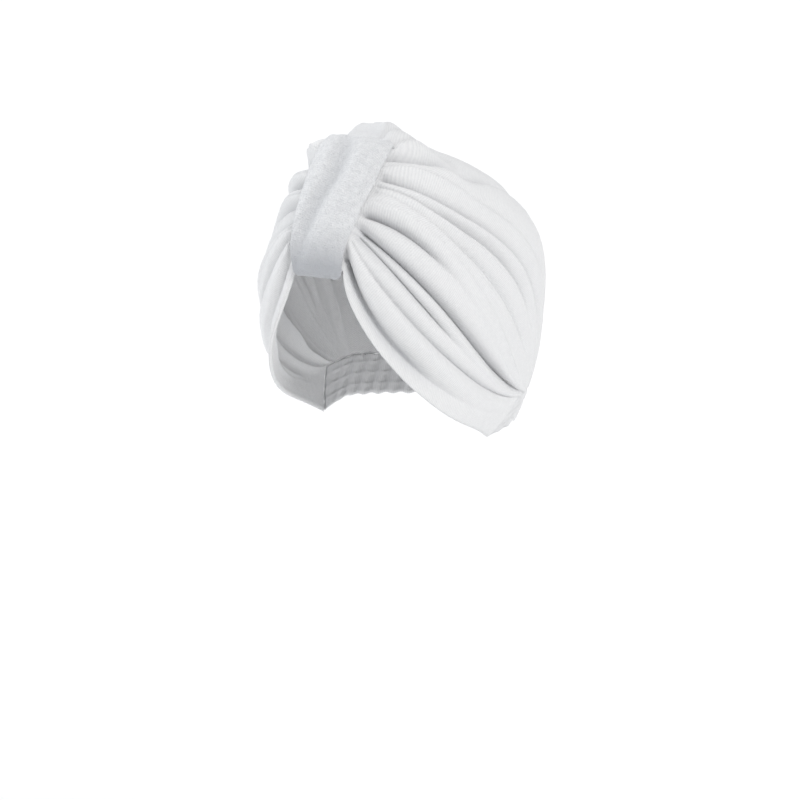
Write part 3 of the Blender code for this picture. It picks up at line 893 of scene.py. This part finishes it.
# %% Shape the crown
WALL = 2.4
UNDER_COLUMNS = 6
SIDE_COLUMNS = 132
CLOSER_AT_ENDS = 0.45
GATHERS_UNDER_BAND = 0.03
FULL_BESIDE_BAND = 0.04
LEFT_REACH = 0.2
RIGHT_REACH = 0.4
NAPE_FLAT_FROM = 0.9
NAPE_FOLD_SHARE = 0.12
PILE_UNEVEN = 0.13
PILE_SIZE = 2.2
SLACK = 0.7
SLACK_SIZE = 26.0
# Painted shade in the creases: the colour darkens below this relief, in mm, and fully this many mm deeper.
PAINTED_SHADE_FROM = -2.0
PAINTED_SHADE_DEPTH = 11.0
# Behind the strap's top, where the gathers are bunched, the colour is darkened: painted shade.
BUNCHED_SHADE = 0.6
BUNCHED_AT = 96.0
BUNCHED_WIDTH = 7.0
BUNCHED_REACH = 0.12


def crown_side(columns, rows, side):
    """One side of the crown: outer and inner points, distances along and across the cloth, and painted shade.
    """
    u, v = np.meshgrid(columns, rows)
    d = crown_direction(u, v, side)
    smooth = d * form_radius(d)[..., None]
    place = column(FOLDS, "band", v)
    seen = np.clip(u / FULL_BESIDE_BAND, 0, 1)
    tucked = np.clip((u + GATHERS_UNDER_BAND) / FULL_BESIDE_BAND, 0, 1)
    beside = gathers_relief(place, LEFT_GATHERS if side > 0 else RIGHT_GATHERS)
    beside = np.minimum(beside, 0) * tucked + np.maximum(beside, 0) * seen
    farther = fold_relief(u, v, smooth) + swell_relief(u, v)
    near = near_band(u, LEFT_REACH if side > 0 else RIGHT_REACH)
    relief = beside * near + farther * (1 - near)
    relief *= np.interp(u, (NAPE_FLAT_FROM, 1), (1, NAPE_FOLD_SHARE))
    creases = crease_relief(u, v, smooth, LEFT_CREASES if side > 0 else RIGHT_CREASES)
    from_hem = across_the_rows(smooth)
    along = across_the_rows(smooth.transpose(1, 0, 2)).T
    smooth[..., 0] *= side
    d[..., 0] *= side
    relief += creases * tucked
    # Painted shade: the colour is darkened deep in the valleys and creases, and behind the strap's top.
    bunched = np.exp(-(((place - BUNCHED_AT) / BUNCHED_WIDTH) ** 2)) * near_band(u, BUNCHED_REACH)
    painted_shade = np.maximum((PAINTED_SHADE_FROM - relief) / PAINTED_SHADE_DEPTH, BUNCHED_SHADE * bunched)
    relief += hem_relief(from_hem, along) * seen + gather_relief(u, place)
    relief += noise_relief(smooth, SLACK_SIZE, SLACK) + noise_relief(smooth, PILE_SIZE, PILE_UNEVEN)
    to_rear = along[:, -1:] - along
    drop = np.maximum(edge_drop(from_hem), edge_drop(to_rear))
    outer = smooth + d * (relief - drop)[..., None]
    inner = smooth + d * (relief - WALL + drop)[..., None]
    return outer, inner, along, from_hem, painted_shade


def make_crown():
    """The whole cap: its two sides, which share the row over the middle of the head."""
    along_shares = closer_at_ends(SIDE_COLUMNS, CLOSER_AT_ENDS)[1:]
    columns = np.concatenate([UNDER_BAND * np.linspace(-1, 0, UNDER_COLUMNS + 1), along_shares])
    rows = crown_rows()
    left = crown_side(columns, rows, 1)
    right = crown_side(columns, rows, -1)
    for a, b in zip(left, right):
        a[-1] = (a[-1] + b[-1]) / 2
    outer, inner, along, across, painted_shade = (np.vstack([a, b[-2::-1]]) for a, b in zip(left, right))
    return wall_of_cloth("crown_cloth", outer, inner, along, across, painted_shade, TERRY_KNIT)


crown = make_crown()

# %% [markdown]
# ## The strap
# The strap is a flat tube of the same terry, so its long edges are soft rolls with a fold between them.
# It starts inside the hem, turns up round it, runs over the gathers and turns down behind them. A strip
# with thickness would have sharp corners, so the strap is a tube: a grid that is wrapped round a rounded
# section and welded along its seam. First comes its path, as seen from the side.

# %% Lay the strap's path
BAND_THICK = 3.0
GAP = 0.4
STRAP_END = 85.0
TUCK_LENGTH = 14.0
CURL = 3.0
TUCK_POINTS = 20
TURN_POINTS = 24
RUN_POINTS = 120
CURL_POINTS = 16
STRAP_STEPS = 170


def strap_path(steps):
    """The strap's middle line as seen from the side: mm up from the hem, and mm off the head's form.

    The second result is the length along it, in mm, at each even step.
    """
    inner = -(WALL + GAP + BAND_THICK / 2)
    outer = GAP + BAND_THICK / 2
    bend = (outer - inner) / 2
    tuck = np.linspace((TUCK_LENGTH, inner), (0, inner), TUCK_POINTS)[:-1]
    turn = np.radians(np.linspace(0, 180, TURN_POINTS))[:, None]
    under = np.hstack([-bend * np.sin(turn), (inner + outer) / 2 - bend * np.cos(turn)])
    run = np.linspace((0, outer), (STRAP_END - CURL, outer), RUN_POINTS)[1:]
    turn = np.radians(np.linspace(0, 90, CURL_POINTS))[1:, None]
    curl = np.hstack([STRAP_END - CURL + CURL * np.sin(turn), outer - CURL + CURL * np.cos(turn)])
    path = np.vstack([tuck, under, run, curl])
    length = np.concatenate([[0], np.cumsum(np.linalg.norm(np.diff(path, axis=0), axis=1))])
    even = np.linspace(0, length[-1], steps)
    return np.stack([np.interp(even, length, path[:, k]) for k in range(2)], -1), even


print("the strap is", round(strap_path(STRAP_STEPS)[1][-1]), "mm long with its turned ends")

# %% [markdown]
# ## The strap's fullness
# The strap isn't flat: it is puffed up on both sides of a soft valley that wanders down its front, and
# its long edges are rolled. A table says where the valley runs, as a share of the way up and in mm
# towards the wearer's left. Low down, where the strap turns under, and a little along the valley, its
# colour is darkened: painted shade.

# %% Shape the strap
Dip = namedtuple("Dip", "up across")
STRAP_DIP = (
    Dip(0.0, -9.0),
    Dip(0.18, -6.5),
    Dip(0.44, -1.0),
    Dip(0.6, 2.5),
    Dip(0.8, 1.5),
    Dip(1.0, -3.0),
)
DIP_WIDTH = 5.0
STRAP_PUFF = 5.2
PUFF_FULL_AT = 0.22
EDGE_ROLL = 1.1
EDGE_ROLL_AT = 0.86
EDGE_ROLL_WIDTH = 0.11
SIDE_ROUNDNESS = 0.75
FACE_ROUNDNESS = 0.6
TUCK_HALF = 10.0
WIDENS_OVER = 8.0
STRAP_ARC = 100.0
STRAP_AROUND = 96
STRAP_GIRTH = 76.0
STRAP_UNEVEN = 0.16
LOW_SHADE_BELOW = 52.0
LOW_SHADE_OVER = 26.0
LOW_SHADE_CURVE = 1.5
VALLEY_SHADE = 0.38


def squared_off(wave, roundness):
    """Makes a round section squarer: 1 leaves it round, and less flattens it."""
    return np.sign(wave) * np.abs(wave) ** roundness


def strap_half(up, on_front, side):
    """Half the strap's width on one side, in mm: narrow in the tuck, and full on the front."""
    return TUCK_HALF + (strap_edge(up * BAND_TOP_AT, side) - TUCK_HALF) * on_front


def make_strap():
    """The strap, as a closed tube."""
    path, length = strap_path(STRAP_STEPS)
    heading_on = np.gradient(path, axis=0)
    heading_on /= np.linalg.norm(heading_on, axis=1, keepdims=True)
    outwards = np.stack([-heading_on[:, 1], heading_on[:, 0]], -1)
    up = np.clip(path[:, 0] / STRAP_END, 0, 1)
    on_front = np.clip((length - TUCK_LENGTH) / WIDENS_OVER, 0, 1)
    left_half = strap_half(up, on_front, 1)[:, None]
    right_half = strap_half(up, on_front, -1)[:, None]
    around = np.linspace(0, 2 * np.pi, STRAP_AROUND + 1)
    share = squared_off(np.cos(around), SIDE_ROUNDNESS)
    thick = squared_off(np.sin(around), FACE_ROUNDNESS)
    x = np.where(share > 0, share * left_half, share * right_half)
    dip = eased(up, [d.up for d in STRAP_DIP], [d.across for d in STRAP_DIP])[:, None]
    valley = np.exp(-(((x - dip) / DIP_WIDTH) ** 2))
    roll = EDGE_ROLL * np.exp(-(((np.abs(share) - EDGE_ROLL_AT) / EDGE_ROLL_WIDTH) ** 2))
    filled = np.sin(np.pi / 2 * np.clip(up / PUFF_FULL_AT, 0, 1))[:, None]
    filled = filled * np.sin(np.pi / 2 * np.clip((1 - up) / PUFF_FULL_AT, 0, 1))[:, None]
    puff = STRAP_PUFF * filled * (1 - valley) * (1 - share**4)
    fullness = (puff + roll) * on_front[:, None] * (thick > 0)
    half_thick = thick * BAND_THICK / 2 + fullness
    off = path[:, 1:] + outwards[:, 1:] * half_thick
    rise = path[:, :1] + outwards[:, :1] * half_thick
    d = heading(np.zeros_like(rise), HEM_RISE + np.degrees(rise / STRAP_ARC))
    p = d * form_radius(d)[..., None]
    p[..., 0] = x
    d = unit(p)
    points = d * (form_radius(d) + off)[..., None]
    points += d * noise_relief(points, PILE_SIZE, STRAP_UNEVEN)[..., None]
    along = np.repeat(length[:, None], len(around), axis=1)
    girth = np.tile(np.linspace(0, STRAP_GIRTH, len(around)), (len(length), 1))
    # Painted shade: darker low down where the strap turns under, and along its valley.
    low_shade = np.clip((LOW_SHADE_BELOW - length[:, None]) / LOW_SHADE_OVER, 0, 1)
    painted_shade = np.maximum(low_shade**LOW_SHADE_CURVE, VALLEY_SHADE * valley * filled)
    sheet = cloth_grid(points, along, girth, painted_shade)
    bmesh.ops.remove_doubles(sheet, verts=sheet.verts, dist=WELD_WITHIN)
    bmesh.ops.holes_fill(sheet, edges=open_edges(sheet), sides=0)
    bmesh.ops.recalc_face_normals(sheet, faces=sheet.faces)
    return finish_piece("front_strap", sheet, BAND_TERRY)


strap = make_strap()

# %% [markdown]
# ## The nape gather
# Low on the back an elastic in the cloth draws it into upright ribs. Such ribs could be an array of one
# rib bent round the nape. A wave round the strip is simpler and lets them die out towards the hem's
# corners. Three shallow channels across them show where the elastic is sewn in.

# %% Shape the nape gather
NAPE_HEM_HALF_WIDTH = 57.5
NAPE_HEM_LEVEL = -72.0
HEM_LEVEL_REACHED_AT = 0.25
NAPE_HEM_DEPTH = 62.0
RIB_COUNT = 22
RIB_DEPTH = 0.9
RIBS_FADE_WITHIN = 0.4
POINTS_A_RIB = 12
NAPE_ROWS = 34
CHANNELS = (0.22, 0.5, 0.78)
CHANNEL_DEPTH = 0.5
CHANNEL_WIDTH = 0.035
CHANNEL_RIPPLE = 0.5


def make_nape_gather():
    """The ribbed strip below the cap's rear edge, from -1 at its right end to 1 at its left."""
    round_nape = np.linspace(-1, 1, RIB_COUNT * POINTS_A_RIB + 1)
    place, down = np.meshgrid(round_nape, np.linspace(0, 1, NAPE_ROWS))
    below_crown = np.array([0, GAP, -GAP]) / NAPE_DEPTH
    top = unit(nape_heading(SIDE_RUN + NAPE_RUN * (1 - np.abs(place))) + below_crown)
    low_turn = np.arctan2(HEM_CORNER[1] / NAPE_HEM_DEPTH, HEM_CORNER[0] / NAPE_HEM_HALF_WIDTH)
    turn = np.pi / 2 - (np.pi / 2 - low_turn) * np.abs(place)
    level = np.interp(1 - np.abs(place), (0, HEM_LEVEL_REACHED_AT), (HEM_CORNER[2], NAPE_HEM_LEVEL))
    low = np.stack([NAPE_HEM_HALF_WIDTH * np.cos(turn), NAPE_HEM_DEPTH * np.sin(turn) + GAP, level], -1)
    d = unit(top * (1 - down[..., None]) + unit(low) * down[..., None])
    fade = np.minimum(1, (1 - np.abs(place)) / RIBS_FADE_WITHIN)
    ribs = RIB_DEPTH * np.cos(np.pi * RIB_COUNT * place) * fade
    channels = sum(np.exp(-(((down - channel) / CHANNEL_WIDTH) ** 2)) for channel in CHANNELS)
    smooth = d * (form_radius(d) - RIB_DEPTH)[..., None]
    across = across_the_rows(smooth)
    along = across_the_rows(smooth.transpose(1, 0, 2)).T
    smooth[..., 0] *= np.sign(place)
    d[..., 0] *= np.sign(place)
    drop = np.maximum(edge_drop(across), edge_drop(across[-1:] - across))
    relief = ribs - CHANNEL_DEPTH * channels * (1 + CHANNEL_RIPPLE * np.cos(np.pi * RIB_COUNT * place))
    relief += noise_relief(smooth, PILE_SIZE, PILE_UNEVEN)
    outer = smooth + d * (relief - drop)[..., None]
    inner = smooth + d * (relief - WALL + drop)[..., None]
    # Painted shade: the colour is darker between the ribs.
    painted_shade = (RIB_DEPTH / 2 - relief) / (2 * RIB_DEPTH)
    return wall_of_cloth("nape_ribbing", outer, inner, along, across, painted_shade, RIB_KNIT)


nape = make_nape_gather()

# %% [markdown]
# ## The pieces
# Every piece rides with the one body that the hat has and stands for its solid, which is hidden. The
# table lists each piece with its node, its slot, the flat size that it was cut to, its area and how it is
# held.

Sewn = namedtuple("Sewn", "piece node slot flat area held")
PIECES = (
    Sewn(crown, "crown", "terry_knit", (0.27, 0.36), 0.088, "gathered"),
    Sewn(strap, "front_band", "band_terry", (0.038, 0.11), None, "folded"),
    Sewn(nape, "nape_gather", "nape_rib_knit", (0.035, 0.2), None, "gathered"),
)
for sewn in PIECES:
    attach(sewn.piece, "root")
    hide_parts(sewn.node)
    print(sewn.piece.name, "stands for", sewn.node)
